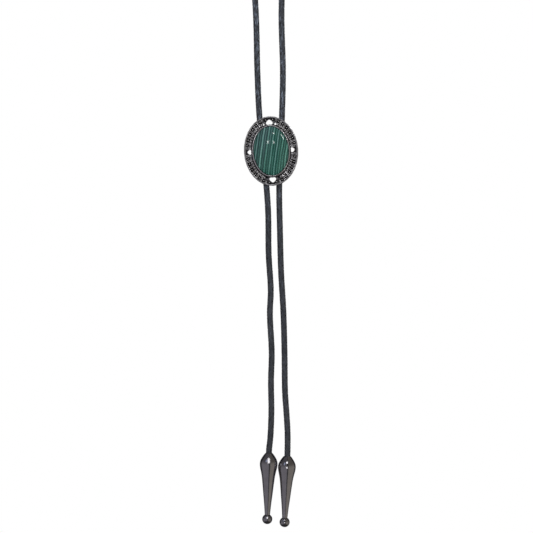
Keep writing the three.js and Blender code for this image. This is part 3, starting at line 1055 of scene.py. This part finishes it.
def plain_noise(tree, vector, frequency, detail, roughness=0.5):
    """Noise with about so many lumps for each unit of its vector."""
    inputs = {"Vector": vector, "Scale": frequency, "Detail": detail, "Roughness": roughness}
    return add_node(tree, "TexNoise", inputs).outputs["Fac"]


def noise(tree, vector, size, detail=3.0, roughness=0.5):
    """Noise whose lumps have a size in millimetres, on a place in metres."""
    return plain_noise(tree, vector, 1 / (size * METRE), detail, roughness)


def bump(tree, height, distance, strength, normal=None):
    """Bumps up to a distance in millimetres high, on top of those that a normal already has."""
    inputs = {"Height": height, "Distance": distance * METRE, "Strength": strength}
    if normal is not None:
        inputs["Normal"] = normal
    return add_node(tree, "Bump", inputs).outputs["Normal"]


# Materials


def leather():
    """Dark waxed leather, with light flecks painted along the cord as highlights, most above the slide."""
    material, tree, shader, place = start_material("black_leather")
    worn = noise(tree, place, size=6.0, detail=4.0)
    plain = ramp(tree, worn, [(0.3, (0.03, 0.033, 0.038)), (0.7, (0.052, 0.056, 0.063))])
    # painted highlights: light flecks in the colour, more of them higher up, standing in for the lamps'
    # glints on the braid
    streaks = noise(tree, multiplied(tree, place, 1.0, 1.0, 0.2), size=0.8, roughness=0.6)
    highlight_flecks = soft_step(tree, streaks, 0.49, 0.73)
    z = parts_of(tree, place)["Z"]
    highlight_amount = soft_step(tree, z, FEW_PAINTED_HIGHLIGHTS_Z * METRE, MANY_PAINTED_HIGHLIGHTS_Z * METRE, FEW_PAINTED_HIGHLIGHTS, 1.0)
    painted_highlights = math_node(tree, "MULTIPLY", highlight_flecks, highlight_amount)
    link(mix(tree, painted_highlights, plain, PAINTED_HIGHLIGHT_COLOUR), shader, "Base Color")
    polished = noise(tree, place, size=1.6, detail=2.0)
    link(soft_step(tree, polished, 0.4, 0.6, 0.26, 0.6), shader, "Roughness")
    inputs = {"Vector": place, "Scale": 1 / (GRAIN_SIZE * METRE)}
    grain = add_node(tree, "TexVoronoi", inputs, feature="DISTANCE_TO_EDGE").outputs["Distance"]
    creased = bump(tree, grain, distance=0.03, strength=0.5)
    fine = noise(tree, place, size=0.35, detail=2.0)
    link(bump(tree, fine, distance=0.05, strength=0.5, normal=creased), shader, "Normal")
    return material


def antiqued_metal():
    """Cast metal, dark in its hollows and rubbed bright where its relief stands up."""
    material, tree, shader, place = start_material("antiqued_metal", metallic=1.0)
    relief = add_node(tree, "Attribute", attribute_name="relief").outputs["Fac"]
    cloudy = noise(tree, place, size=1.6, detail=4.0, roughness=0.6)
    uneven = math_node(tree, "SUBTRACT", cloudy, 0.5)
    rubbed = scaled(tree, uneven, RUBBED_UNEVEN, relief)
    link(ramp(tree, rubbed, METAL_COLOURS), shader, "Base Color")
    link(scale(tree, rubbed, 0.6, 0.28), shader, "Roughness")
    cast = noise(tree, place, size=0.22)
    link(bump(tree, cast, distance=0.03, strength=0.45), shader, "Normal")
    return material


def dark_plating():
    """Polished dark plating, with the faint rings of its turning."""
    material, tree, shader, place = start_material("dark_plating", metallic=1.0)
    cloudy = noise(tree, place, size=5.0)
    colour = ramp(tree, cloudy, [(0.3, (0.42, 0.41, 0.43)), (0.7, (0.5, 0.49, 0.51))])
    link(colour, shader, "Base Color")
    turned = noise(tree, multiplied(tree, place, 0.12, 0.12, 1.0), size=0.12, detail=2.0)
    link(scale(tree, turned, 0.1, 0.2), shader, "Roughness")
    link(bump(tree, turned, distance=0.004, strength=0.4), shader, "Normal")
    return material


def clip_steel():
    """Plain sheet steel, brushed from side to side."""
    material, tree, shader, place = start_material("clip_steel", metallic=1.0)
    brushed = noise(tree, multiplied(tree, place, 0.06, 1.0, 1.0), size=0.15)
    colour = ramp(tree, brushed, [(0.3, (0.42, 0.42, 0.44)), (0.7, (0.58, 0.58, 0.6))])
    link(colour, shader, "Base Color")
    link(scale(tree, brushed, 0.26, 0.44), shader, "Roughness")
    link(bump(tree, brushed, distance=0.01, strength=0.4), shader, "Normal")
    return material


def light_lines(tree, place, apart, sharpness):
    """Light lines from the first band, so many millimetres apart: 1 in their middles, near 0 between."""
    angle = math_node(tree, "MULTIPLY", math_node(tree, "SUBTRACT", place, FIRST_BAND), 2 * math.pi / apart)
    wave = math_node(tree, "COSINE", angle)
    return math_node(tree, "POWER", scaled(tree, wave, 0.5, 0.5), sharpness)


def banded_stone():
    """Bands that run up the stone, bend a little to the right at its top, and differ in width and tone."""
    material, tree, shader, place = start_material("banded_stone")
    parts = parts_of(tree, place)
    x = math_node(tree, "DIVIDE", parts["X"], METRE)
    z = math_node(tree, "DIVIDE", parts["Z"], METRE)
    bend = scaled(tree, z, BAND_BEND, BAND_LEAN)
    shift = math_node(tree, "MULTIPLY", z, bend)
    wander = noise(tree, place, size=14.0, detail=1.0)
    drift = scaled(tree, wander, BAND_WANDER, shift)
    across = math_node(tree, "SUBTRACT", x, drift)
    along = math_node(tree, "MULTIPLY", z, GRAIN_ALONG)
    band_place = add_node(tree, "CombineXYZ", {"X": across, "Y": along}).outputs["Vector"]
    broad = plain_noise(tree, band_place, frequency=0.45, detail=1.0)
    fine = plain_noise(tree, band_place, frequency=2.6, detail=3.0, roughness=0.7)
    strong = plain_noise(tree, band_place, frequency=0.33, detail=0.0)
    line_place = scaled(tree, broad, BAND_UNEVEN, across)
    bright_lines = light_lines(tree, line_place, apart=2 * BAND_STEP, sharpness=3.0)
    all_lines = light_lines(tree, line_place, apart=BAND_STEP, sharpness=1.2)
    bright_tone = scaled(tree, strong, *BRIGHT_BAND_TONE)
    bright = math_node(tree, "MULTIPLY", bright_lines, bright_tone)
    banded = scaled(tree, all_lines, BAND_TONE, bright)
    tone = scaled(tree, fine, GRAIN_TONE, banded)
    green = ramp(tree, tone, [(position, green) for position, green, _ in STONE_COLOURS])
    grey = ramp(tree, tone, [(position, grey) for position, _, grey in STONE_COLOURS])
    greyer_up = scaled(tree, z, GREYER_PER_MM, broad)
    greyer = scaled(tree, x, -GREYER_PER_MM, greyer_up)
    share = soft_step(tree, greyer, *GREY_RANGE, 0.0, MOST_GREY)
    link(mix(tree, share, green, grey), shader, "Base Color")
    shader.inputs["Roughness"].default_value = 0.07
    shader.inputs["IOR"].default_value = 1.55
    return material


def floor_material():
    material, tree, shader, place = start_material("pale_floor")
    away = add_node(tree, "VectorMath", {0: place}, operation="LENGTH").outputs["Value"]
    faded = soft_step(tree, away, FLOOR_FADE_START * METRE, FLOOR_RADIUS * METRE, 1.0, 0.0)
    link(faded, shader, "Alpha")
    link(scale(tree, noise(tree, place, size=30.0), 0.5, 0.6), shader, "Roughness")
    shader.inputs["Base Color"].default_value = (0.86, 0.86, 0.86, 1.0)
    return material


# Floor, lights and surroundings


def make_floor():
    mesh = bpy.data.meshes.new("floor")
    made = bmesh.new()
    bmesh.ops.create_circle(made, cap_ends=True, segments=FLOOR_SIDES, radius=FLOOR_RADIUS * METRE)
    made.to_mesh(mesh)
    made.free()
    floor = add_object("floor", mesh)
    floor.location = (0, 0, FLOOR_Z * METRE)
    mesh.materials.append(floor_material())
    floor.visible_glossy = False


def make_lamp(row, tint=WHITE_LIGHT, in_reflections=True):
    data = bpy.data.lights.new(row["name"], "AREA")
    data.shape = "RECTANGLE"
    data.size, data.size_y = row["size"]
    data.color = tint
    data.energy = row["radiance"] * math.pi * data.size * data.size_y
    lamp = add_object(row["name"], data)
    right, above = (math.radians(angle) for angle in row["from"])
    direction = Vector(
        (math.sin(right) * math.cos(above), -math.cos(right) * math.cos(above), math.sin(above))
    )
    lamp.location = LAMP_TARGET + direction * row.get("away", LAMP_AWAY)
    lamp.rotation_euler = (-direction).to_track_quat("-Z", "Y").to_euler()
    lamp.visible_camera = False
    lamp.visible_glossy = in_reflections
    if "on" in row:
        lit = bpy.data.collections.new(f"lit_by_{row['name']}")
        for name in row["on"]:
            lit.objects.link(bpy.data.objects[name])
        lamp.light_linking.receiver_collection = lit


def make_lamps():
    for row in LAMPS:
        make_lamp(row)
    for row in PANELS:
        make_lamp(row, tint=COOL_LIGHT)
    for row in FILLS:
        make_lamp(row, in_reflections=False)


def side_share(tree, turn, start, start_soft, end, end_soft):
    """1 on one side of the studio and 0 beside it."""
    rising = soft_step(tree, turn, start - start_soft, start + start_soft)
    falling = soft_step(tree, turn, end - end_soft, end + end_soft, 1.0, 0.0)
    return math_node(tree, "MULTIPLY", rising, falling)


def make_surroundings():
    """White to the camera; to the object a dim studio: cool left, warm right, and lighter behind."""
    world = bpy.data.worlds.new("studio")
    bpy.context.scene.world = world
    world.use_nodes = True
    tree = world.node_tree
    tree.nodes.clear()
    direction = add_node(tree, "TexCoord").outputs["Generated"]
    parts = parts_of(tree, direction)
    forward = math_node(tree, "MULTIPLY", parts["Y"], -1.0)
    turn = math_node(tree, "ARCTAN2", parts["X"], forward)
    left = side_share(tree, turn, **LEFT_SIDE)
    right = side_share(tree, turn, **RIGHT_SIDE)
    behind = soft_step(tree, math_node(tree, "ABSOLUTE", turn), *BACK_SIDE)
    cool = mix(tree, left, FRONT_TONE, LEFT_TONE)
    both = mix(tree, right, cool, RIGHT_TONE)
    all_round = mix(tree, behind, both, BACK_TONE)
    # darker overhead and straight below
    overhead = soft_step(tree, parts["Z"], -0.2, 0.5, 1.0, 0.45)
    underneath = soft_step(tree, parts["Z"], -0.8, -0.5, 0.2, 1.0)
    level = math_node(tree, "MULTIPLY", overhead, underneath)
    dim = add_node(tree, "Background", {"Color": all_round, "Strength": level}).outputs["Background"]
    white = add_node(tree, "Background", {"Color": (1.0, 1.0, 1.0, 1.0)}).outputs["Background"]
    seen = add_node(tree, "LightPath").outputs["Is Camera Ray"]
    mixed = add_node(tree, "MixShader", {0: seen, 1: dim, 2: white}).outputs["Shader"]
    add_node(tree, "OutputWorld", {"Surface": mixed})


make_camera()
make_cord(leather())
slide_place = hung_at(SLIDE_X, SLIDE_Z, -SLIDE_LEAN)
make_frame(antiqued_metal(), slide_place)
make_stone(banded_stone(), slide_place)
make_clip(clip_steel())
plating = dark_plating()
for row in TIPS:
    make_tip(plating, **row)
make_floor()
make_lamps()
make_surroundings()
bpy.context.scene.view_settings.view_transform = "Standard"
